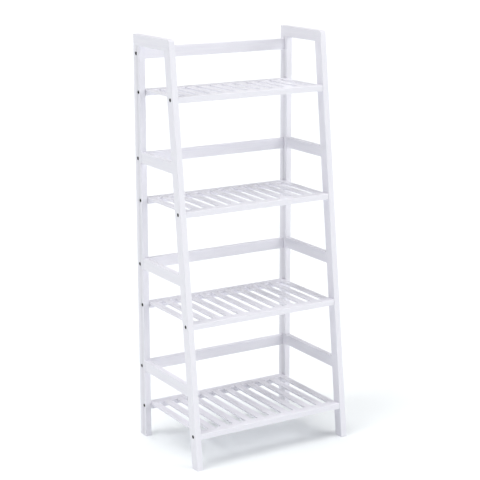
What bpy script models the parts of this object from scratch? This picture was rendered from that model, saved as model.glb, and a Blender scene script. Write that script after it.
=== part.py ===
"""Ladder shelf: two side frames, four slatted shelves and four back rails, bolted together.

Metres, +Z up, front towards -Y. The origin is on the floor, midway across the shelf and midway between
the toes of the front posts and the backs of the rear posts. The rear posts are upright and the front
posts lean back, so each shelf is shallower than the one below it.
"""
import math

import bmesh
import bpy

# Whole object
HEIGHT = 1.200
WIDTH = 0.515
DEPTH_AT_FLOOR = 0.348
DEPTH_AT_TOP = 0.209

# Side frames
POST_THICKNESS = 0.019
REAR_POST_WIDTH = 0.035
FRONT_POST_WIDTH = 0.031
SIDE_RAIL_HEIGHT = 0.032
SIDE_RAIL_THICKNESS = 0.017
SIDE_RAIL_LIFT = 0.004
TOP_CORNER_RADIUS = 0.008
TENON_THICKNESS = 0.007
TENON_SHOULDER = 0.005
TENON_LENGTH = 0.011

# Back rails, between the rear posts
BACK_RAIL_HEIGHT = 0.032
BACK_RAIL_THICKNESS = 0.015
BACK_RAIL_SETBACK = 0.008
BACK_RAIL_RISE = 0.122
TOP_BACK_RAIL_RISE = 0.109

# Shelves
SHELF_COUNT = 4
FIRST_SHELF_HEIGHT = 0.096
SHELF_PITCH = 0.3136
SHELF_RAIL_DEPTH = 0.029
SHELF_RAIL_HEIGHT = 0.017
BOLT_BELOW_RAIL_TOP = 0.0075
FRONT_RAIL_SETBACK = 0.0015
REAR_RAIL_SETBACK = 0.014
BOLT_INTO_RAIL = 0.0125
SLAT_COUNT = 12
SLAT_WIDTH = 0.0215
SLAT_THICKNESS = 0.006
SLAT_HOUSING = 0.008

# M6 socket-head bolts and their barrel nuts
BOLT_LENGTH = 0.040
BOLT_RADIUS = 0.003
HEAD_RADIUS = 0.005
HEAD_HEIGHT = 0.006
HEAD_EDGE = 0.0004
SOCKET_RADIUS = 0.0029
SOCKET_DEPTH = 0.003
COUNTERBORE_RADIUS = 0.0055
COUNTERBORE_DEPTH = 0.0065
NUT_RADIUS = 0.005
NUT_LENGTH = 0.010
NUT_FROM_RAIL_END = 0.020

# Gap between pieces that touch, and facets of round shapes
GAP = 0.0003
ROUND_STEPS = 12
CORNER_STEPS = 6

# Points closer than this are one point, and edges turning by more than this stay sharp
WELD_DISTANCE = 0.000001
SHARP_ANGLE = math.radians(30)

# Worked out from the sizes above
FRONT_TOE = -DEPTH_AT_FLOOR / 2
REAR_FACE = DEPTH_AT_FLOOR / 2
LEAN = (DEPTH_AT_FLOOR - DEPTH_AT_TOP) / HEIGHT
POST_INNER_X = WIDTH / 2 - POST_THICKNESS
POST_CENTRE_X = WIDTH / 2 - POST_THICKNESS / 2
INNER_HALF_WIDTH = POST_INNER_X - GAP
POST_TOP = HEIGHT - SIDE_RAIL_HEIGHT - GAP
REAR_POST_FRONT = REAR_FACE - REAR_POST_WIDTH
BACK_RAIL_CENTRE_Y = REAR_FACE - BACK_RAIL_SETBACK - BACK_RAIL_THICKNESS / 2
SIDES = {"left": -1, "right": 1}

# How far below the face of its post each part of a bolt joint lies
HEAD_UNDERSIDE = -COUNTERBORE_DEPTH + GAP
BOLT_TIP = HEAD_UNDERSIDE - BOLT_LENGTH
HOLE_RADIUS = BOLT_RADIUS + GAP
NUT_CENTRE = -POST_THICKNESS - GAP - NUT_FROM_RAIL_END


def shelf_height(level):
    """Height of the bolts that hold shelf number level; shelf 1 is the lowest."""
    return FIRST_SHELF_HEIGHT + (level - 1) * SHELF_PITCH


def back_rail_height(level):
    """Height of the middle of the back rail above shelf number level."""
    rise = TOP_BACK_RAIL_RISE if level == SHELF_COUNT else BACK_RAIL_RISE
    return shelf_height(level) + rise


def front_face(height):
    """Y of the front posts' leaning front face at a height."""
    return FRONT_TOE + LEAN * height


def front_post_back(height):
    """Y of the front posts' leaning rear face at a height."""
    return front_face(height) + FRONT_POST_WIDTH


def clear_scene():
    """Remove every object, so that only this part is left."""
    for old in list(bpy.data.objects):
        bpy.data.objects.remove(old, do_unlink=True)


def new_collection(name, parent):
    """A collection under another one."""
    group = bpy.data.collections.new(name)
    parent.children.link(group)
    return group


def new_material(name, colour, roughness, metallic):
    """A Principled BSDF material; the colour is linear."""
    material = bpy.data.materials.new(name)
    material.use_nodes = True
    shader = material.node_tree.nodes["Principled BSDF"]
    shader.inputs["Base Color"].default_value = (*colour, 1.0)
    shader.inputs["Roughness"].default_value = roughness
    shader.inputs["Metallic"].default_value = metallic
    return material


def add_piece(name, mesh, material, group=None):
    """An object for a mesh, in the part's collection unless another is named."""
    piece = bpy.data.objects.new(name, mesh)
    (group or PARTS).objects.link(piece)
    if material and not mesh.materials:
        mesh.materials.append(material)
    return piece


def box(name, low, high, material=None, group=None):
    """A box from its lowest corner to its highest corner, placed by its centre."""
    size = [b - a for a, b in zip(low, high)]
    shape = bmesh.new()
    bmesh.ops.create_cube(shape, size=1.0)
    bmesh.ops.scale(shape, vec=size, verts=shape.verts)
    mesh = bpy.data.meshes.new(name)
    shape.to_mesh(mesh)
    shape.free()
    piece = add_piece(name, mesh, material, group)
    piece.location = [(a + b) / 2 for a, b in zip(low, high)]
    return piece


def side_board(name, outline, thickness, centre_x, material=None, group=None):
    """A flat board of a side frame: an outline of (y, z) points, thickened across X."""
    curve = bpy.data.curves.new(name, "CURVE")
    curve.dimensions = "2D"
    curve.fill_mode = "BOTH"
    curve.extrude = thickness / 2
    spline = curve.splines.new("POLY")
    spline.points.add(len(outline) - 1)
    for point, (y, z) in zip(spline.points, outline):
        point.co = (y, z, 0.0, 1.0)
    spline.use_cyclic_u = True
    board_curve = add_piece(name + "_outline", curve, None)
    board_curve.rotation_euler = (math.pi / 2, 0.0, math.pi / 2)
    board_curve.location.x = centre_x
    bpy.context.view_layer.update()
    mesh = bpy.data.meshes.new_from_object(board_curve.evaluated_get(bpy.context.evaluated_depsgraph_get()))
    welded = bmesh.new()
    welded.from_mesh(mesh)
    bmesh.ops.remove_doubles(welded, verts=welded.verts, dist=WELD_DISTANCE)
    welded.to_mesh(mesh)
    welded.free()
    board = add_piece(name, mesh, material, group)
    board.matrix_world = board_curve.matrix_world
    bpy.data.objects.remove(board_curve)
    return board


def turned(name, profile, group=None):
    """A round piece about its own Z: (radius, height) points down its outer side, from top to bottom."""
    mesh = bpy.data.meshes.new(name)
    edges = [(i, i + 1) for i in range(len(profile) - 1)]
    mesh.from_pydata([(radius, 0.0, height) for radius, height in profile], edges, [])
    piece = add_piece(name, mesh, None, group)
    screw = piece.modifiers.new("turn", "SCREW")
    screw.steps = ROUND_STEPS
    screw.render_steps = ROUND_STEPS
    screw.use_merge_vertices = True
    screw.merge_threshold = WELD_DISTANCE
    return piece


def finished_mesh(piece, name, material):
    """The mesh of a piece with its modifiers applied; the piece itself is removed."""
    bpy.context.view_layer.update()
    mesh = bpy.data.meshes.new_from_object(piece.evaluated_get(bpy.context.evaluated_depsgraph_get()))
    mesh.name = name
    mesh.materials.clear()
    mesh.materials.append(material)
    mesh.shade_smooth()
    mesh.set_sharp_from_angle(angle=SHARP_ANGLE)
    bpy.data.objects.remove(piece)
    return mesh


def cutter_group(name):
    """A collection for the cutters of one piece."""
    return new_collection(name + "_cutters", CUTTERS)


def boolean(piece, operation, group):
    """Cut a piece by all the shapes of a collection, or join them to it."""
    for shape in group.objects:
        shape.hide_render = True
        shape.display_type = "WIRE"
    modifier = piece.modifiers.new(operation.lower(), "BOOLEAN")
    modifier.operation = operation
    modifier.operand_type = "COLLECTION"
    modifier.collection = group
    modifier.solver = "EXACT"


def place_on_side(piece, side, y, z):
    """Stand a turned piece on a post's outer face, its own +Z pointing out of the frame."""
    piece.rotation_euler = (0.0, SIDES[side] * math.pi / 2, 0.0)
    piece.location = (SIDES[side] * WIDTH / 2, y, z)


def bolt_positions(side, post):
    """Name, Y and Z of every bolt through the front or rear post of a side."""
    places = []
    for level in range(1, SHELF_COUNT + 1):
        height = shelf_height(level)
        if post == "front":
            y = front_face(height) + FRONT_RAIL_SETBACK + BOLT_INTO_RAIL
        else:
            y = REAR_FACE - REAR_RAIL_SETBACK - BOLT_INTO_RAIL
        places.append((f"{side}_{post}_shelf_bolt_{level}", y, height))
    if post == "rear":
        for level in range(1, SHELF_COUNT + 1):
            places.append((f"{side}_back_rail_bolt_{level}", BACK_RAIL_CENTRE_Y, back_rail_height(level)))
    return places


def make_bolt_mesh(material):
    """A socket-head bolt; its own Z = 0 is the outer face of the post that it clamps."""
    head_top = HEAD_UNDERSIDE + HEAD_HEIGHT
    profile = [
        (0.0, head_top),
        (HEAD_RADIUS - HEAD_EDGE, head_top),
        (HEAD_RADIUS, head_top - HEAD_EDGE),
        (HEAD_RADIUS, HEAD_UNDERSIDE),
        (BOLT_RADIUS, HEAD_UNDERSIDE),
        (BOLT_RADIUS, BOLT_TIP),
        (0.0, BOLT_TIP),
    ]
    bolt = turned("bolt", profile)
    socket_group = cutter_group("bolt")
    socket = bmesh.new()
    bmesh.ops.create_cone(socket, cap_ends=True, segments=6, radius1=SOCKET_RADIUS, radius2=SOCKET_RADIUS,
                          depth=2 * SOCKET_DEPTH)
    mesh = bpy.data.meshes.new("hex_socket")
    socket.to_mesh(mesh)
    socket.free()
    add_piece("hex_socket", mesh, None, socket_group).location.z = head_top
    boolean(bolt, "DIFFERENCE", socket_group)
    return finished_mesh(bolt, "bolt", material)


def make_nut_mesh(material):
    """A barrel nut standing on its own Z, with the bolt's hole across it along X."""
    half = NUT_LENGTH / 2
    nut = turned("barrel_nut", [(0.0, half), (NUT_RADIUS, half), (NUT_RADIUS, -half), (0.0, -half)])
    hole_group = cutter_group("barrel_nut")
    hole = turned("nut_hole", [(0.0, NUT_LENGTH), (HOLE_RADIUS, NUT_LENGTH), (HOLE_RADIUS, -NUT_LENGTH),
                               (0.0, -NUT_LENGTH)], hole_group)
    hole.rotation_euler = (0.0, math.pi / 2, 0.0)
    boolean(nut, "DIFFERENCE", hole_group)
    return finished_mesh(nut, "barrel_nut", material)


def add_post_holes(side, post, group):
    """Counterbored holes through a post, one for each bolt."""
    profile = [
        (0.0, GAP),
        (COUNTERBORE_RADIUS, GAP),
        (COUNTERBORE_RADIUS, -COUNTERBORE_DEPTH),
        (HOLE_RADIUS, -COUNTERBORE_DEPTH),
        (HOLE_RADIUS, -POST_THICKNESS - GAP),
        (0.0, -POST_THICKNESS - GAP),
    ]
    for name, y, z in bolt_positions(side, post):
        place_on_side(turned(name + "_hole", profile, group), side, y, z)


def guard_rail_heights():
    """Heights of the middles of the side rails, lowest first."""
    return [back_rail_height(level) + SIDE_RAIL_LIFT for level in range(1, SHELF_COUNT)]


def tenon_ends(height):
    """Where a side rail's tenon starts and ends: Y inside the front post and inside the rear post."""
    return front_post_back(height) - TENON_LENGTH, REAR_POST_FRONT + TENON_LENGTH


def guard_rail_mortise(name, side, height, group):
    """The cutter that houses both tenons of one side rail."""
    front, rear = tenon_ends(height)
    half_height = SIDE_RAIL_HEIGHT / 2 - TENON_SHOULDER + GAP
    half_thickness = TENON_THICKNESS / 2 + GAP
    centre_x = SIDES[side] * POST_CENTRE_X
    box(name, (centre_x - half_thickness, front - GAP, height - half_height),
        (centre_x + half_thickness, rear + GAP, height + half_height), None, group)


def top_tenon_middle(post):
    """Y of the middle of the tenon on top of a front or rear post."""
    if post == "front":
        return front_face(POST_TOP) + FRONT_POST_WIDTH / 2
    return REAR_FACE - REAR_POST_WIDTH / 2


def top_tenon(name, side, post, clearance, group):
    """The tenon on top of a post, or with a clearance the mortise for it in the top rail."""
    half_width = FRONT_POST_WIDTH / 2 - TENON_SHOULDER + clearance
    half_thickness = TENON_THICKNESS / 2 + clearance
    centre_x = SIDES[side] * POST_CENTRE_X
    middle = top_tenon_middle(post)
    box(name, (centre_x - half_thickness, middle - half_width, POST_TOP - TENON_LENGTH),
        (centre_x + half_thickness, middle + half_width, POST_TOP + TENON_LENGTH + clearance), None, group)


def make_post(side, post, material):
    """One post: a board with a tenon on top, mortises for the side rails and holes for the bolts."""
    name = f"{side}_{post}_post"
    if post == "front":
        outline = [(front_face(0.0), 0.0), (front_post_back(0.0), 0.0),
                   (front_post_back(POST_TOP), POST_TOP), (front_face(POST_TOP), POST_TOP)]
    else:
        outline = [(REAR_POST_FRONT, 0.0), (REAR_FACE, 0.0),
                   (REAR_FACE, POST_TOP), (REAR_POST_FRONT, POST_TOP)]
    board = side_board(name, outline, POST_THICKNESS, SIDES[side] * POST_CENTRE_X, material)
    tenon_group = new_collection(name + "_tenon", CUTTERS)
    top_tenon(name + "_tenon", side, post, 0.0, tenon_group)
    boolean(board, "UNION", tenon_group)
    cuts = cutter_group(name)
    for number, height in enumerate(guard_rail_heights(), 1):
        guard_rail_mortise(f"{name}_mortise_{number}", side, height, cuts)
    add_post_holes(side, post, cuts)
    boolean(board, "DIFFERENCE", cuts)


def make_guard_rail(side, number, height, material):
    """A side rail between the posts, its front end cut to the lean and a tenon at each end."""
    name = f"{side}_guard_rail_{number}"
    low = height - SIDE_RAIL_HEIGHT / 2
    high = height + SIDE_RAIL_HEIGHT / 2
    rear = REAR_POST_FRONT - GAP
    outline = [(front_post_back(low) + GAP, low), (rear, low),
               (rear, high), (front_post_back(high) + GAP, high)]
    centre_x = SIDES[side] * POST_CENTRE_X
    rail = side_board(name, outline, SIDE_RAIL_THICKNESS, centre_x, material)
    front, rear = tenon_ends(height)
    tenon_group = new_collection(name + "_tenon", CUTTERS)
    box(name + "_tenon", (centre_x - TENON_THICKNESS / 2, front, low + TENON_SHOULDER),
        (centre_x + TENON_THICKNESS / 2, rear, high - TENON_SHOULDER), None, tenon_group)
    boolean(rail, "UNION", tenon_group)


def rounded_top_corner():
    """Points round the top rail's front corner, from the leaning front edge to the top edge."""
    lean_angle = math.atan(LEAN)
    setback = TOP_CORNER_RADIUS * math.tan((math.pi / 2 - lean_angle) / 2)
    centre_y = front_face(HEIGHT) + setback
    centre_z = HEIGHT - TOP_CORNER_RADIUS
    points = []
    for step in range(CORNER_STEPS + 1):
        angle = lean_angle + (math.pi / 2 - lean_angle) * step / CORNER_STEPS
        points.append((centre_y - TOP_CORNER_RADIUS * math.cos(angle),
                       centre_z + TOP_CORNER_RADIUS * math.sin(angle)))
    return points


def make_top_rail(side, material):
    """The rail across the tops of both posts of a side, with a rounded front corner."""
    name = f"{side}_top_rail"
    underside = HEIGHT - SIDE_RAIL_HEIGHT
    outline = [(REAR_FACE, HEIGHT), (REAR_FACE, underside), (front_face(underside), underside)]
    outline += rounded_top_corner()
    rail = side_board(name, outline[::-1], POST_THICKNESS, SIDES[side] * POST_CENTRE_X, material)
    cuts = cutter_group(name)
    for post in ("front", "rear"):
        top_tenon(f"{name}_{post}_mortise", side, post, GAP, cuts)
    boolean(rail, "DIFFERENCE", cuts)


def add_rail_bores(name, y, z, group):
    """The blind bores for a bolt in each end of a rail."""
    profile = [(0.0, -POST_THICKNESS), (HOLE_RADIUS, -POST_THICKNESS), (HOLE_RADIUS, BOLT_TIP - GAP),
               (0.0, BOLT_TIP - GAP)]
    for side in SIDES:
        place_on_side(turned(f"{name}_{side}_bore", profile, group), side, y, z)


def make_back_rail(level, material):
    """A rail between the rear posts, bolted through them into its ends."""
    name = f"back_rail_{level}"
    middle = back_rail_height(level)
    front = BACK_RAIL_CENTRE_Y - BACK_RAIL_THICKNESS / 2
    rear = BACK_RAIL_CENTRE_Y + BACK_RAIL_THICKNESS / 2
    rail = box(name, (-INNER_HALF_WIDTH, front, middle - BACK_RAIL_HEIGHT / 2),
               (INNER_HALF_WIDTH, rear, middle + BACK_RAIL_HEIGHT / 2), material)
    cuts = cutter_group(name)
    add_rail_bores(name, BACK_RAIL_CENTRE_Y, middle, cuts)
    boolean(rail, "DIFFERENCE", cuts)


def shelf_edges(level):
    """Y of a shelf's front edge and rear edge."""
    return front_face(shelf_height(level)) + FRONT_RAIL_SETBACK, REAR_FACE - REAR_RAIL_SETBACK


def make_shelf(level, material):
    """A slatted shelf: a front rail and a rear rail, with slats let into them flush with their tops."""
    name = f"shelf_{level}"
    front, rear = shelf_edges(level)
    top = shelf_height(level) + BOLT_BELOW_RAIL_TOP
    bottom = top - SHELF_RAIL_HEIGHT
    shelf = box(name, (-INNER_HALF_WIDTH, front, bottom),
                (INNER_HALF_WIDTH, front + SHELF_RAIL_DEPTH, top), material)
    joined = new_collection(name + "_joined", CUTTERS)
    box(name + "_rear_rail", (-INNER_HALF_WIDTH, rear - SHELF_RAIL_DEPTH, bottom),
        (INNER_HALF_WIDTH, rear, top), None, joined)
    slat_start = front + SHELF_RAIL_DEPTH - SLAT_HOUSING
    slat_end = rear - SHELF_RAIL_DEPTH + SLAT_HOUSING
    pitch = (2 * INNER_HALF_WIDTH - SLAT_WIDTH) / (SLAT_COUNT - 1)
    for number in range(SLAT_COUNT):
        left = -INNER_HALF_WIDTH + number * pitch
        box(f"{name}_slat_{number + 1}", (left, slat_start, top - SLAT_THICKNESS),
            (left + SLAT_WIDTH, slat_end, top), None, joined)
    boolean(shelf, "UNION", joined)
    cuts = cutter_group(name)
    for place, y in (("front", front + BOLT_INTO_RAIL), ("rear", rear - BOLT_INTO_RAIL)):
        add_rail_bores(f"{name}_{place}", y, shelf_height(level), cuts)
        add_nut_pockets(f"{name}_{place}", y, shelf_height(level), bottom, cuts)
    boolean(shelf, "DIFFERENCE", cuts)


def add_nut_pockets(name, y, height, bottom, group):
    """The pockets for the barrel nuts, bored upwards from under a rail near each end."""
    radius = NUT_RADIUS + GAP
    pocket_top = NUT_LENGTH / 2 + GAP
    pocket_bottom = bottom - height - GAP
    profile = [(0.0, pocket_top), (radius, pocket_top), (radius, pocket_bottom), (0.0, pocket_bottom)]
    for side, direction in SIDES.items():
        pocket = turned(f"{name}_{side}_pocket", profile, group)
        pocket.location = (direction * (WIDTH / 2 + NUT_CENTRE), y, height)


def make_fasteners(bolt_mesh, nut_mesh):
    """Every bolt, and a barrel nut for each bolt that holds a shelf."""
    for side, direction in SIDES.items():
        for post in ("front", "rear"):
            for name, y, z in bolt_positions(side, post):
                place_on_side(add_piece(name, bolt_mesh, None), side, y, z)
                if "shelf_bolt" in name:
                    nut = add_piece(name.replace("shelf_bolt", "barrel_nut"), nut_mesh, None)
                    nut.location = (direction * (WIDTH / 2 + NUT_CENTRE), y, z)


clear_scene()
PARTS = new_collection("ladder_shelf", bpy.context.scene.collection)
CUTTERS = new_collection("cutters", bpy.context.scene.collection)

paint = new_material("white_painted_wood", (0.80, 0.80, 0.84), 0.45, 0.0)
black_steel = new_material("black_steel", (0.012, 0.012, 0.014), 0.40, 0.8)
zinc = new_material("zinc_plated_steel", (0.55, 0.56, 0.58), 0.35, 1.0)

for frame_side in SIDES:
    for frame_post in ("front", "rear"):
        make_post(frame_side, frame_post, paint)
    make_top_rail(frame_side, paint)
    for rail_number, rail_height in enumerate(guard_rail_heights(), 1):
        make_guard_rail(frame_side, rail_number, rail_height, paint)
for shelf_level in range(1, SHELF_COUNT + 1):
    make_shelf(shelf_level, paint)
    make_back_rail(shelf_level, paint)
make_fasteners(make_bolt_mesh(black_steel), make_nut_mesh(zinc))
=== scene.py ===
import math

import bmesh
import bpy
import numpy as np
from bpy.props import FloatProperty, FloatVectorProperty, IntProperty, PointerProperty
from mathutils import Matrix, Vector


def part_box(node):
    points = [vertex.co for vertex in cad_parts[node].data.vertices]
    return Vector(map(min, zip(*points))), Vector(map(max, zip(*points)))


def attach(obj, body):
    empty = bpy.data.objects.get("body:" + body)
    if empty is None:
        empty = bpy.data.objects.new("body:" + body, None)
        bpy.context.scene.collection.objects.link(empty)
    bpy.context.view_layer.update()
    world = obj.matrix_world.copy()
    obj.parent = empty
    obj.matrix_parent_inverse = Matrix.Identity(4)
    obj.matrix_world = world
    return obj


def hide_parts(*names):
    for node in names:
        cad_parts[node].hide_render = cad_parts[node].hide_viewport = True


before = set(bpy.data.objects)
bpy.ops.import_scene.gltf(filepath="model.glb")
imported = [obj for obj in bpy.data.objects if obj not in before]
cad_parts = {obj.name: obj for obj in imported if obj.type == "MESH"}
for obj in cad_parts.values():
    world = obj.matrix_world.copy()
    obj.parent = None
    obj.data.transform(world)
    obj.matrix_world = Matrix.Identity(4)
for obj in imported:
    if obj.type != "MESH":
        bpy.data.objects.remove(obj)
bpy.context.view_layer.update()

bl_info = {
    "name": "Ladder shelf",
    "version": (1, 0, 0),
    "blender": (4, 5, 0),
    "location": "3D View > Sidebar > Ladder shelf",
    "description": "Painted boards, slats and fittings of a four-tier ladder shelf",
    "category": "Object",
}

SIDES = {"left": -1, "right": 1}
LEVELS = (1, 2, 3, 4)
GUARD_RAIL_LEVELS = (1, 2, 3)

# Gap that the solids leave between pieces that touch
GAP = 0.0003

# Points closer than this are one point
WELD = 1e-6

QUARTER_TURN = math.pi / 2

# Edges that turn by more than this are drawn crisp
CRISP_ANGLE = math.radians(40)

# Steps in a quarter turn of an edge rounding, in the rounding of a board's end, and in the top rails' corner
EDGE_STEPS = 4
END_STEPS = 2
CORNER_STEPS = 14

# Steps along each side of the square of board face that surrounds a hole
HOLE_STEPS = 8

# Points round a turned fitting; a multiple of 12, so that hexagon corners fall on points
TURNED_STEPS = 48

# Rings in one turn of a bolt's thread
THREAD_STEPS = 4


def linear(code):
    """A hex sRGB colour as linear red, green and blue."""
    parts = np.array([int(code[i : i + 2], 16) for i in (1, 3, 5)]) / 255
    return tuple(np.where(parts <= 0.04045, parts / 12.92, ((parts + 0.055) / 1.055) ** 2.4).tolist())


def length(name, description, default):
    """A length property, in metres."""
    return FloatProperty(name=name, description=description, default=default, min=0.0, precision=4,
                         subtype="DISTANCE", unit="LENGTH")


def colour(name, description, code):
    """A colour property with a hex sRGB default."""
    return FloatVectorProperty(name=name, description=description, default=linear(code), size=3,
                               min=0.0, max=1.0, subtype="COLOR")


def bearing(name, description, default):
    """An angle property, in radians."""
    return FloatProperty(name=name, description=description, default=default, subtype="ANGLE",
                         unit="ROTATION")


def strength(name, description, default):
    """A property for how strong a light is."""
    return FloatProperty(name=name, description=description, default=default, min=0.0)


class BoardSettings(bpy.types.PropertyGroup):
    """Sizes of the boards that their solids' boxes don't give."""

    post_rounding: length("Post rounding", "Radius along the long edges of the posts and top rails", 0.0014)
    rail_rounding: length("Rail rounding", "Radius along the long edges of the guard and back rails", 0.0018)
    shelf_rounding: length("Shelf rail rounding", "Radius along the long edges of the shelf rails", 0.0018)
    slat_rounding: length("Slat rounding", "Radius along the long edges of the slats", 0.0012)
    end_rounding: length("End rounding", "How far the sawn ends of the boards are eased", 0.0001)
    foot_rounding: length("Foot rounding", "Radius round the feet of the posts", 0.0008)
    corner_radius: length("Top corner radius", "Radius of the top rails' front corner, from the side", 0.008)
    shelf_rail_depth: length("Shelf rail depth", "Width of the shelf rails, front to back", 0.029)
    slat_width: length("Slat width", "Width of a slat", 0.0215)
    slat_thickness: length("Slat thickness", "Thickness of a slat", 0.006)
    slat_housing: length("Slat housing", "How far each end of a slat is let into its rail", 0.008)
    slat_count: IntProperty(name="Slats", description="Slats in each shelf", default=12, min=2)


class FittingSettings(bpy.types.PropertyGroup):
    """Sizes of the M6 socket-head bolts, their holes and their barrel nuts."""

    head_radius: length("Head radius", "Radius of the bolt heads", 0.005)
    head_height: length("Head height", "Height of the bolt heads", 0.006)
    socket_width: length("Socket width", "Width across the flats of the hexagon socket", 0.005)
    socket_depth: length("Socket depth", "Depth of the hexagon socket", 0.003)
    shank_radius: length("Shank radius", "Radius over the thread crests", 0.003)
    thread_pitch: length("Thread pitch", "Distance from one thread crest to the next", 0.001)
    thread_depth: length("Thread depth", "Depth of the thread", 0.0005)
    thread_length: length("Thread length", "Length of the threaded end of a bolt", 0.024)
    counterbore_radius: length("Counterbore radius", "Radius of the holes that take the bolt heads", 0.0055)
    counterbore_depth: length("Counterbore depth", "Depth of the holes that take the bolt heads", 0.0065)
    hole_lip: length("Hole lip", "Rounding of the paint round a hole", 0.0004)
    nut_radius: length("Nut radius", "Radius of the barrel nuts", 0.005)
    nut_slot_width: length("Nut slot width", "Width of the slot that turns a nut to its bolt", 0.0014)
    nut_slot_depth: length("Nut slot depth", "Depth of the slot that turns a nut to its bolt", 0.0012)


class FinishSettings(bpy.types.PropertyGroup):
    """Colours of the finishes."""

    paint: colour("Paint", "Satin white paint", "#EEEDF3")
    paint_shade: colour("Paint shade", "The paint where it lies thinner over the grain", "#E8E7EF")
    black_oxide: colour("Black oxide", "Chemically blackened steel of the bolts", "#111112")
    zinc: colour("Zinc", "Zinc plating of the barrel nuts", "#B9BDC2")


class StageSettings(bpy.types.PropertyGroup):
    """Floor, lights and camera."""

    floor: colour("Floor", "Matt white floor", "#F6F9FA")
    world: colour("Surroundings", "White studio walls", "#FFFFFF")
    world_strength: strength("Surroundings strength", "Light from all round", 0.2)
    overhead_strength: strength("Overhead strength", "Light of the softbox overhead", 1.55)
    front_strength: strength("Front strength", "Light of the low softbox in front", 1.15)
    left_strength: strength("Left strength", "Light of the high softbox on the left", 1.1)
    back_strength: strength("Back strength", "Light of the softbox behind", 0.6)
    lens: FloatProperty(name="Lens", description="Focal length", default=105.25,
                        subtype="DISTANCE_CAMERA", unit="CAMERA")
    camera_place: FloatVectorProperty(name="Camera place", description="Where the camera stands",
                                      default=(-2.0690, -3.3866, 1.5818), subtype="TRANSLATION",
                                      unit="LENGTH")
    camera_turn: bearing("Camera turn", "Turn from straight ahead towards the right", 0.54609)
    camera_tilt: bearing("Camera tilt", "Tilt below level", 0.24170)
    camera_roll: bearing("Camera roll", "Roll about the line of sight", -0.00158)


# -----------------------------------------------------------------------------------------------------------
# Materials


def add_node(tree, kind, inputs=None, **settings):
    """Add a shader node, make its settings, and set or link its inputs."""
    node = tree.nodes.new(kind)
    for key, value in settings.items():
        setattr(node, key, value)
    for key, value in (inputs or {}).items():
        if isinstance(value, bpy.types.NodeSocket):
            tree.links.new(value, node.inputs[key])
        else:
            node.inputs[key].default_value = value
    return node


def new_material(name, **constants):
    """A material with a Principled BSDF, whose constant sockets are set by name, underscores for spaces."""
    material = bpy.data.materials.new(name)
    material.use_nodes = True
    tree = material.node_tree
    tree.nodes.clear()
    shader = add_node(tree, "ShaderNodeBsdfPrincipled")
    add_node(tree, "ShaderNodeOutputMaterial", {"Surface": shader.outputs["BSDF"]})
    for key, value in constants.items():
        shader.inputs[key.replace("_", " ")].default_value = value
    return material, tree, shader


def dress(material, tree, shader, tint, gloss, relief):
    """Link a pattern's colour, roughness and relief to a material's shader, and give the material back."""
    for socket, name in ((tint, "Base Color"), (gloss, "Roughness"), (relief, "Normal")):
        tree.links.new(socket, shader.inputs[name])
    return material


# Pine boards, sanded, primed and sprayed with satin white lacquer. The lacquer fills the pores, so the grain
# shows only as faint long ridges and a slight change of shade, under an even soft gloss with a fine
# orange-peel ripple. Real growth rings are 1 to 3 mm apart; the ridges are drawn 3 mm apart so that they
# show, and wander a little. The lacquer lies thin, and shows its second shade, where the grain stands high.
LACQUER_IOR = 1.49
LACQUER_ROUGHNESS = (0.36, 0.46)
CLEAR_COAT = 0.12
CLEAR_COAT_ROUGHNESS = 0.22
GRAIN_SPACING = 0.003
GRAIN_LENGTH_RATIO = 28.0
GRAIN_WANDER = 0.35
GRAIN_DEPTH = 0.00005
THIN_LACQUER = (0.12, 0.42)
PEEL_SPACING = 0.0016
PEEL_DEPTH = 0.00002
CLOUD_SIZE = 0.09
CLOUD_RANGE = (0.3, 0.7)


def painted_pine(grain_axis):
    """Satin white lacquer over sanded pine, with the grain along one axis of the part."""
    name = f"satin_white_lacquer_on_pine_{grain_axis}"
    if name in bpy.data.materials:
        return bpy.data.materials[name]
    finish = bpy.context.scene.ladder_finish
    material, tree, shader = new_material(name, IOR=LACQUER_IOR, Coat_Weight=CLEAR_COAT,
                                          Coat_Roughness=CLEAR_COAT_ROUGHNESS)
    place = add_node(tree, "ShaderNodeTexCoord").outputs["Object"]
    scale = [1.0 / GRAIN_LENGTH_RATIO if axis == grain_axis else 1.0 for axis in "xyz"]
    along = add_node(tree, "ShaderNodeMapping", {"Vector": place, "Scale": scale}).outputs["Vector"]
    grain = add_node(tree, "ShaderNodeTexNoise",
                     {"Vector": along, "Scale": 1 / GRAIN_SPACING, "Detail": 3.0, "Roughness": 0.55,
                      "Distortion": GRAIN_WANDER}).outputs["Fac"]
    peel = add_node(tree, "ShaderNodeTexNoise",
                    {"Vector": place, "Scale": 1 / PEEL_SPACING, "Detail": 1.0}).outputs["Fac"]
    cloud = add_node(tree, "ShaderNodeTexNoise",
                     {"Vector": along, "Scale": 1 / CLOUD_SIZE, "Detail": 2.0}).outputs["Fac"]
    thin = add_node(tree, "ShaderNodeMath", {0: grain, 1: cloud}, operation="MULTIPLY").outputs["Value"]
    share = add_node(tree, "ShaderNodeMapRange", {"Value": thin, "From Min": THIN_LACQUER[0],
                                                  "From Max": THIN_LACQUER[1]}).outputs["Result"]
    tint = add_node(tree, "ShaderNodeMix", {0: share, 6: (*finish.paint, 1.0), 7: (*finish.paint_shade, 1.0)},
                    data_type="RGBA").outputs[2]
    gloss = add_node(tree, "ShaderNodeMapRange", {
        "Value": cloud, "From Min": CLOUD_RANGE[0], "From Max": CLOUD_RANGE[1],
        "To Min": LACQUER_ROUGHNESS[0], "To Max": LACQUER_ROUGHNESS[1]}).outputs["Result"]
    ripple = add_node(tree, "ShaderNodeBump",
                      {"Height": peel, "Distance": PEEL_DEPTH, "Strength": 1.0}).outputs["Normal"]
    ridges = add_node(tree, "ShaderNodeBump", {"Height": grain, "Distance": GRAIN_DEPTH, "Strength": 1.0,
                                               "Normal": ripple}).outputs["Normal"]
    return dress(material, tree, shader, tint, gloss, ridges)


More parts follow.
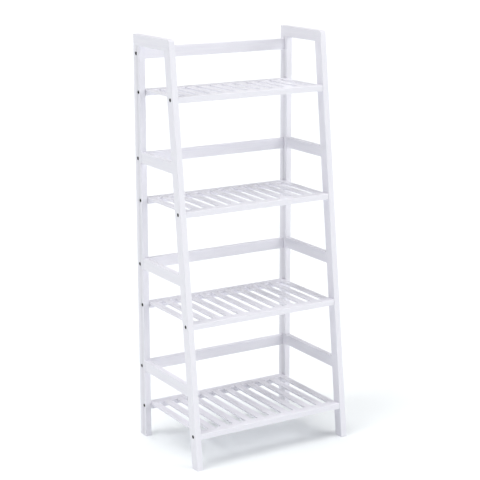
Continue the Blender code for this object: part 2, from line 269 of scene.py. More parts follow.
# Alloy steel bolts, chemically blackened and oiled. The black oxide skin hides the metal, so the bolts take
# the shading of a dull black mineral with a weak sheen, a little brighter in patches where the skin is
# rubbed.
OXIDE_SHEEN = 0.35
OXIDE_ROUGHNESS = (0.45, 0.62)
OXIDE_PATCH = 0.0012
OXIDE_DEPTH = 0.00002
RUBBED_GAIN = 2.2


def black_oxide_steel():
    """Blackened steel with a soft oily sheen."""
    name = "black_oxide_steel"
    if name in bpy.data.materials:
        return bpy.data.materials[name]
    finish = bpy.context.scene.ladder_finish
    material, tree, shader = new_material(name, Specular_IOR_Level=OXIDE_SHEEN)
    place = add_node(tree, "ShaderNodeTexCoord").outputs["Object"]
    patch = add_node(tree, "ShaderNodeTexNoise",
                     {"Vector": place, "Scale": 1 / OXIDE_PATCH, "Detail": 3.0}).outputs["Fac"]
    rubbed = tuple(min(1.0, RUBBED_GAIN * part) for part in finish.black_oxide)
    tint = add_node(tree, "ShaderNodeMix", {0: patch, 6: (*finish.black_oxide, 1.0), 7: (*rubbed, 1.0)},
                    data_type="RGBA").outputs[2]
    gloss = add_node(tree, "ShaderNodeMapRange", {"Value": patch, "To Min": OXIDE_ROUGHNESS[0],
                                                  "To Max": OXIDE_ROUGHNESS[1]}).outputs["Result"]
    oxide = add_node(tree, "ShaderNodeBump",
                     {"Height": patch, "Distance": OXIDE_DEPTH, "Strength": 1.0}).outputs["Normal"]
    return dress(material, tree, shader, tint, gloss, oxide)


# Turned steel nuts, zinc plated and passivated: a bright blue-grey metal with fine rings left by the lathe,
# stacked up the nut. The pattern is drawn out across it, so that the rings run all round.
ZINC_ROUGHNESS = (0.22, 0.4)
LATHE_RING = 0.0004
RING_STRETCH = (0.05, 0.05, 1.0)
RING_DEPTH = 0.00001
DULL_ZINC = 0.78


def zinc_plated_steel():
    """Bright zinc over turned steel."""
    name = "zinc_plated_steel"
    if name in bpy.data.materials:
        return bpy.data.materials[name]
    finish = bpy.context.scene.ladder_finish
    material, tree, shader = new_material(name, Metallic=1.0)
    place = add_node(tree, "ShaderNodeTexCoord").outputs["Object"]
    height = add_node(tree, "ShaderNodeMapping", {"Vector": place, "Scale": RING_STRETCH}).outputs["Vector"]
    rings = add_node(tree, "ShaderNodeTexNoise",
                     {"Vector": height, "Scale": 1 / LATHE_RING, "Detail": 2.0}).outputs["Fac"]
    dull = tuple(DULL_ZINC * part for part in finish.zinc)
    tint = add_node(tree, "ShaderNodeMix", {0: rings, 6: (*finish.zinc, 1.0), 7: (*dull, 1.0)},
                    data_type="RGBA").outputs[2]
    gloss = add_node(tree, "ShaderNodeMapRange", {"Value": rings, "To Min": ZINC_ROUGHNESS[0],
                                                  "To Max": ZINC_ROUGHNESS[1]}).outputs["Result"]
    turned = add_node(tree, "ShaderNodeBump",
                      {"Height": rings, "Distance": RING_DEPTH, "Strength": 1.0}).outputs["Normal"]
    return dress(material, tree, shader, tint, gloss, turned)


# A sweep of matt white background paper: an even surface with a faint cloudiness in its tone.
PAPER_CLOUD = 0.6
PAPER_SHADE = 0.985


def backdrop_paper():
    """Matt white background paper."""
    stage = bpy.context.scene.ladder_stage
    material, tree, shader = new_material("matt_white_backdrop_paper", Roughness=0.9, Specular_IOR_Level=0.1)
    place = add_node(tree, "ShaderNodeTexCoord").outputs["Object"]
    cloud = add_node(tree, "ShaderNodeTexNoise", {"Vector": place, "Scale": 1 / PAPER_CLOUD}).outputs["Fac"]
    dim = tuple(PAPER_SHADE * part for part in stage.floor)
    tint = add_node(tree, "ShaderNodeMix", {0: cloud, 6: (*stage.floor, 1.0), 7: (*dim, 1.0)},
                    data_type="RGBA").outputs[2]
    tree.links.new(tint, shader.inputs["Base Color"])
    return material


# -----------------------------------------------------------------------------------------------------------
# Shapes


class Skin:
    """The points and faces of one piece, gathered as whole arrays until its mesh is made."""

    def __init__(self):
        self.points = np.zeros((0, 3))
        self.faces = []

    def add(self, points):
        """Add points, an array of shape (..., 3), and give back their numbers as an array of shape (...)."""
        first = len(self.points)
        self.points = np.concatenate([self.points, points.reshape(-1, 3)])
        return first + np.arange(points[..., 0].size).reshape(points.shape[:-1])

    def band(self, rings, windows=()):
        """Faces from each ring of point numbers to the next; a ring's last point joins its first.
        A window (first row, last row, first column, last column) is left open."""
        beside = np.roll(rings, -1, axis=1)
        quads = np.stack([rings[:-1], beside[:-1], beside[1:], rings[1:]], -1)
        kept = np.ones(quads.shape[:2], bool)
        for top, bottom, left, right in windows:
            kept[top:bottom, left:right] = False
        self.faces += quads[kept].tolist()

    def close(self, ring):
        """One face across a flat ring."""
        self.faces.append(ring.tolist())

    def wrap(self, rings, windows=()):
        """A closed body: a band over all the rings, and a face across the first and the last."""
        self.band(rings, windows)
        self.close(rings[0])
        self.close(rings[-1])


def spread(values, shape):
    """One value for each row of a grid of that shape, repeated along the row."""
    return np.broadcast_to(values[:, None], shape[:2])


def rim(numbers, rows, columns):
    """Point numbers once round a window of a grid: along its first row, down its last column, back along its
    last row and up its first column."""
    block = numbers[np.ix_(rows, columns)]
    return np.concatenate([block[0, :-1], block[:-1, -1], block[-1, :0:-1], block[:0:-1, 0]])


def rounded_section(width, height, radius, extras=((), (), (), ())):
    """Points and outward normals once round a rectangle with rounded corners, and the number of each side's
    first extra point. A corner's points are its centre plus the radius times (cosine, sine) of an angle that
    turns through a quarter circle; a side's extra points lie on it at the given distances from the corner
    where it starts."""
    corners = np.array([[0.0, 0.0], [width, 0.0], [width, height], [0.0, height]])
    turns = np.arange(1, EDGE_STEPS) / EDGE_STEPS * QUARTER_TURN
    points, normals, firsts = [], [], []
    for side in range(4):
        start, end = corners[side], corners[(side + 1) % 4]
        run = np.linalg.norm(end - start)
        ahead = (end - start) / run
        out = np.array([ahead[1], -ahead[0]])
        distances = np.array([radius, *extras[side], run - radius])
        firsts.append(sum(map(len, points)) + 1)
        points.append(start + distances[:, None] * ahead)
        normals.append(np.tile(out, (len(distances), 1)))
        arc = np.cos(turns)[:, None] * out + np.sin(turns)[:, None] * ahead
        points.append(end - radius * (ahead + out) + radius * arc)
        normals.append(arc)
    return np.concatenate(points), np.concatenate(normals), firsts


def eased_ends(start, end, middle, start_radius, end_radius):
    """Stations along a board with rounded ends: how far along each one is, and how far the section is drawn
    in there. Over a quarter turn, a station is the radius times (1 - sine) from the end and drawn in by
    radius times (1 - cosine)."""
    turns = np.linspace(QUARTER_TURN, 0.0, END_STEPS + 1)
    way = math.copysign(1.0, end - start)
    along = np.concatenate([start + way * start_radius * (1 - np.sin(turns)), middle,
                            (end - way * end_radius * (1 - np.sin(turns)))[::-1]])
    inset = np.concatenate([start_radius * (1 - np.cos(turns)), np.zeros(len(middle)),
                            (end_radius * (1 - np.cos(turns)))[::-1]])
    return along, inset


def carried(section, normals, inset):
    """A section repeated for every station, moved inwards along its normals by that station's inset."""
    return section[None] - inset[:, None, None] * normals[None]


def plate(outline, radii, half_thickness, centre_x):
    """A flat board from a side outline of (y, z) points. Each ring of its rim is the outline moved inwards by
    radius * (1 - cosine) and set at half the thickness less the largest radius * (1 - sine); radii holds, for
    each corner, the radius on the edge before it and on the edge after it."""
    skin = Skin()
    ahead = np.roll(outline, -1, axis=0) - outline
    ahead /= np.linalg.norm(ahead, axis=1, keepdims=True)
    after = np.stack([ahead[:, 1], -ahead[:, 0]], -1)
    before = np.roll(after, 1, axis=0)
    cosine = (before * after).sum(-1, keepdims=True)
    straight = cosine > 1 - WELD
    opening = np.where(straight, 1.0, 1 - cosine**2)
    first, second = radii[:, :1], radii[:, 1:]
    mitred = (first * (before - cosine * after) + second * (after - cosine * before)) / opening
    inward = np.where(straight, second * after, mitred)
    turns = np.linspace(QUARTER_TURN, 0.0, EDGE_STEPS + 1)
    turns = np.concatenate([turns, turns[::-1]])
    depth = half_thickness - radii.max() * (1 - np.sin(turns))
    x = np.where(np.arange(len(turns)) <= EDGE_STEPS, depth, -depth)
    flat = outline[None] - (1 - np.cos(turns))[:, None, None] * inward[None]
    skin.wrap(skin.add(np.stack([spread(x, flat.shape) + centre_x, flat[..., 0], flat[..., 1]], -1)))
    return skin


def hole_mouth(radius, lip):
    """Radii and depths of the rings where the paint rounds into a hole: over a quarter turn, the hole's
    radius plus the lip times (1 - sine), at the lip times (1 - cosine) below the face."""
    turns = np.linspace(0.0, QUARTER_TURN, EDGE_STEPS)
    return radius + lip * (1 - np.sin(turns)), lip * (1 - np.cos(turns))


def bored(skin, rim_in, rim_out, centre, radii, depths, face_x, way):
    """Line a round hole that runs along X. Each ring is the hole's centre plus a radius times (cosine, sine)
    of the angles at which the rim's own points lie, at a depth below the face; the first ring meets one
    window's rim and the last meets the other's."""
    offset = skin.points[rim_in][:, 1:] - centre
    turn = np.arctan2(offset[:, 1], offset[:, 0])
    y = centre[0] + radii[:, None] * np.cos(turn)
    z = centre[1] + radii[:, None] * np.sin(turn)
    lining = skin.add(np.stack([spread(face_x - way * depths, y.shape), y, z], -1))
    skin.band(np.concatenate([rim_in[None], lining, rim_out[None]]))


def make_piece(skin, name, material, slot, *nodes):
    """Turn a skin into a welded mesh object with the given material, standing for CAD nodes; slot is not
    used.
    """
    mesh = bpy.data.meshes.new(name)
    mesh.from_pydata(skin.points.tolist(), [], skin.faces)
    welded = bmesh.new()
    welded.from_mesh(mesh)
    bmesh.ops.remove_doubles(welded, verts=welded.verts, dist=WELD)
    bmesh.ops.dissolve_degenerate(welded, dist=WELD, edges=welded.edges)
    bmesh.ops.recalc_face_normals(welded, faces=welded.faces)
    welded.to_mesh(mesh)
    welded.free()
    mesh.materials.append(material)
    mesh.shade_smooth()
    mesh.set_sharp_from_angle(angle=CRISP_ANGLE)
    piece = bpy.data.objects.new(name, mesh)
    bpy.context.scene.collection.objects.link(piece)
    flat_faces = piece.modifiers.new("flat faces stay flat", "WEIGHTED_NORMAL")
    flat_faces.keep_sharp = True
    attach(piece, "root")
    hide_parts(*nodes)
    return piece


# -----------------------------------------------------------------------------------------------------------
# Places of the boards, from the solids' boxes


def middle(node):
    """The middle of a CAD node's box."""
    low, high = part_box(node)
    return np.array((low + high) / 2)


def toe():
    """Y of the front posts' front face at the floor."""
    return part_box("left_front_post")[0].y


def top_underside():
    """Height of the top rails' undersides."""
    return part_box("left_top_rail")[0].z


def lean():
    """How far the front posts' faces move back for each metre that they rise."""
    return (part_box("left_top_rail")[0].y - toe()) / top_underside()


def front_face(height):
    """Y of the front posts' leaning front face at a height."""
    return toe() + lean() * height


def front_post_width():
    """Level width of a front post."""
    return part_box("left_front_post")[1].y - front_face(top_underside() - GAP)


def bolt_names(side, post):
    """The bolts that go through one post."""
    names = [f"{side}_{post}_shelf_bolt_{level}" for level in LEVELS]
    if post == "rear":
        names += [f"{side}_back_rail_bolt_{level}" for level in LEVELS]
    return names


# Bolts whose lines agree to this many decimals of a metre stand in line
SAME_LINE_DIGITS = 4


def make_post(side, post):
    """One post: a level rounded section carried up the post's line, with a counterbored hole for each bolt. A
    point's place is (distance from the frame's inner face, line of the post at its height plus its distance
    across the post, height). Bolts in line with each other share their columns of points."""
    board = bpy.context.scene.ladder_boards
    fitting = bpy.context.scene.ladder_fittings
    way = SIDES[side]
    low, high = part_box(f"{side}_{post}_post")
    thickness = high.x - low.x
    if post == "front":
        width, line = front_post_width(), front_face
    else:
        width, line = high.y - low.y, lambda height: np.full_like(height, low.y)
    top = top_underside()
    bolts = [middle(name) for name in bolt_names(side, post)]
    reach = fitting.counterbore_radius + fitting.hole_lip + GAP
    window = np.linspace(-reach, reach, HOLE_STEPS + 1)
    across = sorted({round(float(bolt[1] - line(bolt[2])), SAME_LINE_DIGITS) for bolt in bolts})
    columns = np.concatenate([distance + window for distance in across])
    section, normals, firsts = rounded_section(width, thickness, board.post_rounding,
                                               (columns, (), (width - columns)[::-1], ()))
    bolts.sort(key=lambda bolt: bolt[2])
    rows = np.concatenate([bolt[2] + window for bolt in bolts])
    height, inset = eased_ends(0.0, top, rows, board.foot_rounding, board.end_rounding)
    shape = carried(section, normals, inset)
    inner_x = low.x if way > 0 else high.x
    skin = Skin()
    grid = skin.add(np.stack([inner_x + way * shape[..., 1], line(height)[:, None] + shape[..., 0],
                              spread(height, shape.shape)], -1))
    radius, shank = fitting.counterbore_radius, fitting.shank_radius + GAP
    mouth_radii, mouth_depths = hole_mouth(radius, fitting.hole_lip)
    hole_radii = np.array([*mouth_radii, radius, shank, shank])
    hole_depths = np.array([*mouth_depths, fitting.counterbore_depth, fitting.counterbore_depth, thickness])
    windows, holes = [], []
    for number, bolt in enumerate(bolts):
        row = END_STEPS + 1 + number * len(window)
        place = across.index(min(across, key=lambda distance: abs(distance - (bolt[1] - line(bolt[2])))))
        column = place * len(window)
        inner = firsts[0] + column
        outer = firsts[2] + len(columns) - column - len(window)
        windows += [(row, row + HOLE_STEPS, inner, inner + HOLE_STEPS),
                    (row, row + HOLE_STEPS, outer, outer + HOLE_STEPS)]
        window_rows = row + np.arange(len(window))
        holes.append((rim(grid, window_rows, outer + np.arange(len(window))[::-1]),
                      rim(grid, window_rows, inner + np.arange(len(window))), bolt[1:]))
    skin.wrap(grid, windows)
    for rim_outer, rim_inner, centre in holes:
        bored(skin, rim_outer, rim_inner, centre, hole_radii, hole_depths, inner_x + way * thickness, way)
    return make_piece(skin, f"{side}_{post}_post_board", painted_pine("z"), "white_painted_wood",
                      f"{side}_{post}_post")


def make_top_rail(side):
    """The rail across the tops of a side's posts: a plate whose front corner is an arc between the leaning
    front edge and the level top edge. Its underside is rounded only between the posts."""
    board = bpy.context.scene.ladder_boards
    low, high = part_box(f"{side}_top_rail")
    radius = board.corner_radius
    lean_angle = math.atan(lean())
    setback = radius * math.tan((QUARTER_TURN - lean_angle) / 2)
    turns = np.linspace(QUARTER_TURN, lean_angle, CORNER_STEPS + 1)
    arc = np.stack([front_face(high.z) + setback - radius * np.cos(turns),
                    high.z - radius + radius * np.sin(turns)], -1)
    rear_post_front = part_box(f"{side}_rear_post")[0].y
    front_post_back = front_face(low.z) + front_post_width()
    full, slight = board.post_rounding, board.end_rounding
    underside = [(front_face(low.z), full, slight), (front_post_back, slight, slight),
                 (front_post_back + full, full, full), (rear_post_front - full, full, full),
                 (rear_post_front, slight, slight), (high.y, slight, full)]
    outline = np.concatenate([[(y, low.z) for y, _, _ in underside], [(high.y, high.z)], arc])
    radii = np.concatenate([[(before, after) for _, before, after in underside],
                            np.full((len(arc) + 1, 2), full)])
    skin = plate(outline, radii, (high.x - low.x) / 2, (high.x + low.x) / 2)
    return make_piece(skin, f"{side}_top_rail_board", painted_pine("y"), "white_painted_wood",
                      f"{side}_top_rail")


def make_guard_rail(side, level):
    """A side rail between the posts: a plate with sawn ends, the front one cut to the posts' lean."""
    board = bpy.context.scene.ladder_boards
    node = f"{side}_guard_rail_{level}"
    low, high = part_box(node)
    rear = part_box(f"{side}_rear_post")[0].y - GAP
    front = front_post_width() + GAP
    outline = np.array([(front_face(low.z) + front, low.z), (rear, low.z), (rear, high.z),
                        (front_face(high.z) + front, high.z)])
    full, slight = board.rail_rounding, board.end_rounding
    radii = np.array([(slight, full), (full, slight), (slight, full), (full, slight)])
    skin = plate(outline, radii, (high.x - low.x) / 2, (high.x + low.x) / 2)
    return make_piece(skin, f"{node}_board", painted_pine("y"), "white_painted_wood", node)


def make_back_rail(level):
    """A rail between the rear posts: a rounded section carried along X."""
    board = bpy.context.scene.ladder_boards
    node = f"back_rail_{level}"
    low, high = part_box(node)
    section, normals, _ = rounded_section(high.y - low.y, high.z - low.z, board.rail_rounding)
    x, inset = eased_ends(low.x, high.x, np.zeros(0), board.end_rounding, board.end_rounding)
    shape = carried(section, normals, inset)
    skin = Skin()
    skin.wrap(skin.add(np.stack([spread(x, shape.shape), low.y + shape[..., 0], low.z + shape[..., 1]], -1)))
    return make_piece(skin, f"{node}_board", painted_pine("x"), "white_painted_wood", node)


def slat_lefts(low, high):
    """X of each slat's left edge: evenly spaced from one end of the shelf to the other."""
    board = bpy.context.scene.ladder_boards
    return np.linspace(low.x, high.x - board.slat_width, board.slat_count)


def make_shelf_rail(level, place):
    """A shelf rail: a rounded section carried along X, with a notch for each slat. Inside a notch, every
    point of the section that lies beyond the notch's back wall and above its floor is lowered to its floor;
    at a notch's side walls the whole and the notched section stand at the same X. The nut pockets are bored
    up from the underside."""
    board = bpy.context.scene.ladder_boards
    fitting = bpy.context.scene.ladder_fittings
    low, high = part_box(f"shelf_{level}")
    depth, height = board.shelf_rail_depth, high.z - low.z
    wall = depth - board.slat_housing - GAP
    floor = height - board.slat_thickness - GAP
    nuts = [middle(f"{side}_{place}_barrel_nut_{level}") for side in SIDES]
    outer_y, way = (low.y, 1) if place == "front" else (high.y, -1)
    nut_y = abs(nuts[0][1] - outer_y)
    reach = fitting.nut_radius + fitting.hole_lip + 2 * GAP
    window = np.linspace(-reach, reach, HOLE_STEPS + 1)
    section, normals, firsts = rounded_section(depth, height, board.shelf_rounding,
                                               (nut_y + window, (floor,), (depth - wall, depth - wall), ()))
    lefts = slat_lefts(low, high)
    walls = np.stack([lefts - GAP, lefts + board.slat_width + GAP], -1)
    inner_walls = walls.ravel()[1:-1]
    ends = eased_ends(low.x, high.x, np.zeros(0), board.end_rounding, board.end_rounding)
    half = END_STEPS + 1
    plain = np.concatenate([nut[0] + window for nut in nuts])
    x = np.concatenate([ends[0][:half], np.repeat(inner_walls, 2), plain, ends[0][half:]])
    inset = np.concatenate([ends[1][:half], np.zeros(2 * len(inner_walls) + len(plain)), ends[1][half:]])
    inside = ((x[:, None] > walls[:, 0]) & (x[:, None] < walls[:, 1])).any(1)
    inside[half : half + 2 * len(inner_walls)] = np.tile([True, False, False, True], len(inner_walls) // 2)
    rank = np.concatenate([np.zeros(half), np.arange(2 * len(inner_walls)) + 1, np.zeros(len(plain) + half)])
    order = np.lexsort((rank, x))
    x, inset, inside = x[order], inset[order], inside[order]
    shape = carried(section, normals, inset)
    in_notch = section[:, 0] > wall - WELD
    in_notch[firsts[2] + 1] = False
    lowered = inside[:, None] & in_notch[None] & (shape[..., 1] > floor)
    up = np.where(lowered, floor, shape[..., 1])
    skin = Skin()
    grid = skin.add(np.stack([spread(x, up.shape), outer_y + way * shape[..., 0], low.z + up], -1))
    columns = firsts[0] + np.arange(len(window))
    windows, pockets = [], []
    for nut in nuts:
        rows = np.flatnonzero(np.abs(x - nut[0]) <= reach + WELD)
        windows.append((rows[0], rows[-1], columns[0], columns[-1]))
        pockets.append((rim(grid, rows, columns), nut))
    skin.wrap(grid, windows)
    radius = fitting.nut_radius + GAP
    mouth_radii, mouth_depths = hole_mouth(radius, fitting.hole_lip)
    pocket_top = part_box(f"left_{place}_barrel_nut_{level}")[1].z + GAP
    radii = np.array([*mouth_radii, radius])[:, None]
    depths = np.array([*mouth_depths, pocket_top - low.z])
    for edge, nut in pockets:
        offset = skin.points[edge][:, :2] - nut[:2]
        turn = np.arctan2(offset[:, 1], offset[:, 0])
        pocket_x, pocket_y = nut[0] + radii * np.cos(turn), nut[1] + radii * np.sin(turn)
        lining = skin.add(np.stack([pocket_x, pocket_y, spread(low.z + depths, pocket_x.shape)], -1))
        skin.band(np.concatenate([edge[None], lining]))
        skin.close(lining[-1])
    return make_piece(skin, f"shelf_{level}_{place}_rail", painted_pine("x"), "white_painted_wood",
                      f"shelf_{level}")


def make_slats(level):
    """A shelf's slats: one rounded section carried along Y for each."""
    board = bpy.context.scene.ladder_boards
    low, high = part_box(f"shelf_{level}")
    section, normals, _ = rounded_section(board.slat_width, board.slat_thickness, board.slat_rounding)
    let_in = board.shelf_rail_depth - board.slat_housing
    y, inset = eased_ends(low.y + let_in, high.y - let_in, np.zeros(0), board.end_rounding,
                          board.end_rounding)
    shape = carried(section, normals, inset)
    for number, left in enumerate(slat_lefts(low, high), 1):
        skin = Skin()
        skin.wrap(skin.add(np.stack([left + shape[..., 0], spread(y, shape.shape),
                                     high.z - board.slat_thickness + shape[..., 1]], -1)))
        make_piece(skin, f"shelf_{level}_slat_{number:02d}", painted_pine("y"), "white_painted_wood",
                   f"shelf_{level}")


# How far a bolt head's top edge is eased, as a share of its radius; the depth of the drill's cone below the
# socket, as a share of the socket's width; the cone's blunt tip and the socket's flared mouth, as shares of
# the socket
HEAD_EASING = 0.1
DRILL_DEPTH = 0.25
DRILL_TIP = 0.02
SOCKET_FLARE = 1.06

# Chamfers of the socket's mouth and the head's underside, of a bolt's tip and of a nut's ends
HEAD_CHAMFER = 0.0002
TIP_CHAMFER = 0.0004
NUT_CHAMFER = 0.0004


def make_bolt(node, side):
    """A socket-head bolt lying along X: rings of (height along the bolt, radius). The socket's rings are
    hexagons, whose radius is half the width across flats over the cosine of the angle from the nearest flat's
    middle. The thread's radius falls and rises as a triangle wave of (height / pitch - turn), so the crests
    run in a helix."""
    fitting = bpy.context.scene.ladder_fittings
    low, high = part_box(node)
    way = SIDES[side]
    centre = middle(node)
    top = high.x if way > 0 else -low.x
    tip = low.x if way > 0 else -high.x
    pitch, shank = fitting.thread_pitch, fitting.shank_radius
    turn = np.arange(TURNED_STEPS) * 2 * math.pi / TURNED_STEPS
    from_flat = (turn + math.pi / 6) % (math.pi / 3) - math.pi / 6
    hexagon = fitting.socket_width / 2 / np.cos(from_flat)
    circle = np.ones_like(turn)
    rings = [(top - fitting.socket_depth - DRILL_DEPTH * fitting.socket_width, DRILL_TIP * hexagon),
             (top - fitting.socket_depth, hexagon), (top - HEAD_CHAMFER, hexagon),
             (top, hexagon * SOCKET_FLARE)]
    head, easing = fitting.head_radius, HEAD_EASING * fitting.head_radius
    for step in np.linspace(0.0, QUARTER_TURN, EDGE_STEPS + 1):
        rings.append((top - easing * (1 - math.cos(step)), circle * (head - easing * (1 - math.sin(step)))))
    underside = top - fitting.head_height
    rings += [(underside + HEAD_CHAMFER, circle * head), (underside, circle * (head - HEAD_CHAMFER)),
              (underside, circle * shank)]
    heights = np.arange(tip + fitting.thread_length, tip + pitch, -pitch / THREAD_STEPS)
    wave = np.abs((heights[:, None] / pitch - turn / (2 * math.pi)) % 1.0 * 2 - 1)
    rings += zip(heights, shank - fitting.thread_depth * wave)
    core = shank - fitting.thread_depth
    rings += [(tip + TIP_CHAMFER, circle * core), (tip, circle * (core - TIP_CHAMFER))]
    height = np.array([ring[0] for ring in rings])
    radius = np.stack([ring[1] for ring in rings])
    skin = Skin()
    skin.wrap(skin.add(np.stack([way * spread(height, radius.shape), centre[1] + radius * np.cos(turn),
                                 centre[2] + radius * np.sin(turn)], -1)))
    return make_piece(skin, f"{node}_steel", black_oxide_steel(), "black_steel", node)


# Face left round a nut's cross hole, and how far its slot reaches from the middle, as a share of its radius
NUT_HOLE_MARGIN = 0.0006
NUT_SLOT_REACH = 0.7


def make_barrel_nut(node):
    """A barrel nut: circles stacked along Z, with a cross hole for the bolt and a screwdriver slot in its
    lower end. The cross hole's rims are circles in Y and Z laid on the barrel, so X is the root of radius
    squared less Y squared; the slot's ring is the barrel's circle clipped to the slot's width and length."""
    fitting = bpy.context.scene.ladder_fittings
    low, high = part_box(node)
    centre = middle(node)
    barrel = fitting.nut_radius
    hole = fitting.shank_radius + GAP
    reach = hole + NUT_HOLE_MARGIN
    side_angle = math.asin(reach / barrel)
    near = np.linspace(-side_angle, side_angle, HOLE_STEPS + 1)
    between = np.linspace(side_angle, math.pi - side_angle, HOLE_STEPS + 1)[1:-1]
    round_barrel = np.concatenate([near, between, near + math.pi, between + math.pi])
    rows = centre[2] + np.linspace(-reach, reach, HOLE_STEPS + 1)
    circle = np.stack([np.cos(round_barrel), np.sin(round_barrel)], -1)
    slot_corner = np.array([NUT_SLOT_REACH * barrel, fitting.nut_slot_width / 2])
    slot = np.clip(circle * barrel, -slot_corner, slot_corner)
    lower = [(low.z + fitting.nut_slot_depth, slot), (low.z, slot), (low.z, circle * (barrel - NUT_CHAMFER)),
             (low.z + NUT_CHAMFER, circle * barrel)]
    upper = [(high.z - NUT_CHAMFER, circle * barrel), (high.z, circle * (barrel - NUT_CHAMFER))]
    rings = [*lower, *[(row, circle * barrel) for row in rows], *upper]
    height = np.array([ring[0] for ring in rings])
    flat = np.stack([ring[1] for ring in rings]) + centre[:2]
    skin = Skin()
    grid = skin.add(np.stack([flat[..., 0], flat[..., 1], spread(height, flat.shape)], -1))
    first = len(lower)
    window_rows = first + np.arange(HOLE_STEPS + 1)
    second = len(near) + len(between)
    skin.wrap(grid, [(first, first + HOLE_STEPS, column, column + HOLE_STEPS) for column in (0, second)])
    rim_in = rim(grid, window_rows, np.arange(HOLE_STEPS + 1))
    rim_out = rim(grid, window_rows, second + np.arange(HOLE_STEPS + 1)[::-1])
    offset = skin.points[rim_in][:, 1:] - centre[1:]
    turn = np.arctan2(offset[:, 1], offset[:, 0])
    y, z = hole * np.cos(turn), hole * np.sin(turn)
    x = np.sqrt(barrel**2 - y**2)
    lining = skin.add(centre + np.stack([np.stack([x, -x]), np.stack([y, y]), np.stack([z, z])], -1))
    skin.band(np.concatenate([rim_in[None], lining, rim_out[None]]))
    return make_piece(skin, f"{node}_turned", zinc_plated_steel(), "zinc_plated_steel", node)


# -----------------------------------------------------------------------------------------------------------
# Operators


# Half the floor's width and depth: far enough that its edge lies on the horizon
FLOOR_REACH = 1000.0

# How wide each softbox looks from the shelf, its turn from straight in front towards the right, and its
# height above the horizon, in degrees
SOFTBOXES = {"overhead": (50, 0, 90), "front": (40, 40, 20), "left": (40, -90, 55), "back": (40, 180, 40)}

# Millimetres across the film that the lens's focal length goes with
FILM_WIDTH = 36.0


class LADDER_OT_stage(bpy.types.Operator):
    """Lay the floor, hang the lights and place the camera"""

    bl_idname = "ladder_shelf.stage"
    bl_label = "Stage"

    def execute(self, context):
        stage = context.scene.ladder_stage
        context.scene.view_settings.view_transform = "Standard"
        corners = ((-1, -1), (1, -1), (1, 1), (-1, 1))
        mesh = bpy.data.meshes.new("floor")
        mesh.from_pydata([(x * FLOOR_REACH, y * FLOOR_REACH, 0.0) for x, y in corners], [], [(0, 1, 2, 3)])
        mesh.materials.append(backdrop_paper())
        floor = bpy.data.objects.new("floor", mesh)
        context.scene.collection.objects.link(floor)

        world = bpy.data.worlds.new("studio")
        world.use_nodes = True
        world.node_tree.nodes.clear()
        glow = add_node(world.node_tree, "ShaderNodeBackground",
                        {"Color": (*stage.world, 1.0), "Strength": stage.world_strength})
        add_node(world.node_tree, "ShaderNodeOutputWorld", {"Surface": glow.outputs["Background"]})
        context.scene.world = world

        for place, (width, turn, height) in SOFTBOXES.items():
            light = bpy.data.lights.new(f"{place}_softbox", "SUN")
            light.energy = getattr(stage, f"{place}_strength")
            light.angle = math.radians(width)
            lamp = bpy.data.objects.new(light.name, light)
            lamp.rotation_euler = (math.radians(90 - height), 0.0, math.radians(turn))
            context.scene.collection.objects.link(lamp)

        lens = bpy.data.cameras.new("camera")
        lens.lens = stage.lens
        lens.sensor_width = FILM_WIDTH
        camera = bpy.data.objects.new("camera", lens)
        context.scene.collection.objects.link(camera)
        aim = (Matrix.Rotation(-stage.camera_turn, 4, "Z")
               @ Matrix.Rotation(QUARTER_TURN - stage.camera_tilt, 4, "X")
               @ Matrix.Rotation(stage.camera_roll, 4, "Z"))
        camera.matrix_world = Matrix.Translation(stage.camera_place) @ aim
        context.scene.camera = camera
        return {"FINISHED"}


class LADDER_OT_posts(bpy.types.Operator):
    """Build the two rear posts and the two leaning front posts"""

    bl_idname = "ladder_shelf.posts"
    bl_label = "Posts"

    def execute(self, context):
        for side in SIDES:
            make_post(side, "rear")
            make_post(side, "front")
        return {"FINISHED"}


class LADDER_OT_top_rails(bpy.types.Operator):
    """Build the top rails of both side frames"""

    bl_idname = "ladder_shelf.top_rails"
    bl_label = "Top rails"

    def execute(self, context):
        for side in SIDES:
            make_top_rail(side)
        return {"FINISHED"}


class LADDER_OT_guard_rails(bpy.types.Operator):
    """Build the side rails above the three lower shelves"""

    bl_idname = "ladder_shelf.guard_rails"
    bl_label = "Guard rails"

    def execute(self, context):
        for side in SIDES:
            for level in GUARD_RAIL_LEVELS:
                make_guard_rail(side, level)
        return {"FINISHED"}


class LADDER_OT_back_rails(bpy.types.Operator):
    """Build the back rails above the shelves"""

    bl_idname = "ladder_shelf.back_rails"
    bl_label = "Back rails"

    def execute(self, context):
        for level in LEVELS:
            make_back_rail(level)
        return {"FINISHED"}


class LADDER_OT_shelf_rails(bpy.types.Operator):
    """Build the notched front and rear rails of the shelves"""

    bl_idname = "ladder_shelf.shelf_rails"
    bl_label = "Shelf rails"

    def execute(self, context):
        for level in LEVELS:
            make_shelf_rail(level, "front")
            make_shelf_rail(level, "rear")
        return {"FINISHED"}


class LADDER_OT_slats(bpy.types.Operator):
    """Build the slats of the shelves"""

    bl_idname = "ladder_shelf.slats"
    bl_label = "Slats"

    def execute(self, context):
        for level in LEVELS:
            make_slats(level)
        return {"FINISHED"}


class LADDER_OT_bolts(bpy.types.Operator):
    """Build the socket-head bolts"""

    bl_idname = "ladder_shelf.bolts"
    bl_label = "Bolts"

    def execute(self, context):
        for side in SIDES:
            for post in ("front", "rear"):
                for name in bolt_names(side, post):
                    make_bolt(name, side)
        return {"FINISHED"}


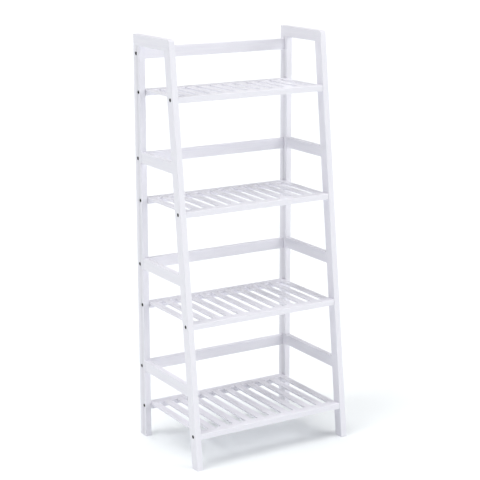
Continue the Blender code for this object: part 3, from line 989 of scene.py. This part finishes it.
class LADDER_OT_barrel_nuts(bpy.types.Operator):
    """Build the barrel nuts in the shelf rails"""

    bl_idname = "ladder_shelf.barrel_nuts"
    bl_label = "Barrel nuts"

    def execute(self, context):
        for side in SIDES:
            for place in ("front", "rear"):
                for level in LEVELS:
                    make_barrel_nut(f"{side}_{place}_barrel_nut_{level}")
        return {"FINISHED"}


OPERATORS = (
    LADDER_OT_stage,
    LADDER_OT_posts,
    LADDER_OT_top_rails,
    LADDER_OT_guard_rails,
    LADDER_OT_back_rails,
    LADDER_OT_shelf_rails,
    LADDER_OT_slats,
    LADDER_OT_bolts,
    LADDER_OT_barrel_nuts,
)


class LADDER_PT_sidebar(bpy.types.Panel):
    """The ladder shelf's settings and pieces"""

    bl_label = "Ladder shelf"
    bl_space_type = "VIEW_3D"
    bl_region_type = "UI"
    bl_category = "Ladder shelf"

    def draw(self, context):
        for settings in SETTINGS:
            box = self.layout.box()
            group = getattr(context.scene, settings)
            for name in type(group).__annotations__:
                box.prop(group, name)
        for operator in OPERATORS:
            self.layout.operator(operator.bl_idname)


SETTINGS = {
    "ladder_boards": BoardSettings,
    "ladder_fittings": FittingSettings,
    "ladder_finish": FinishSettings,
    "ladder_stage": StageSettings,
}


def register():
    """Register the classes and give every scene its settings."""
    for cls in (*SETTINGS.values(), *OPERATORS, LADDER_PT_sidebar):
        bpy.utils.register_class(cls)
    for name, group in SETTINGS.items():
        setattr(bpy.types.Scene, name, PointerProperty(type=group))


def unregister():
    """Take back what register did."""
    for name in SETTINGS:
        delattr(bpy.types.Scene, name)
    for cls in reversed((*SETTINGS.values(), *OPERATORS, LADDER_PT_sidebar)):
        bpy.utils.unregister_class(cls)


def main():
    """Build the stage and every piece."""
    register()
    bpy.ops.ladder_shelf.stage()
    bpy.ops.ladder_shelf.posts()
    bpy.ops.ladder_shelf.top_rails()
    bpy.ops.ladder_shelf.guard_rails()
    bpy.ops.ladder_shelf.back_rails()
    bpy.ops.ladder_shelf.shelf_rails()
    bpy.ops.ladder_shelf.slats()
    bpy.ops.ladder_shelf.bolts()
    bpy.ops.ladder_shelf.barrel_nuts()


if __name__ == "__main__":
    main()
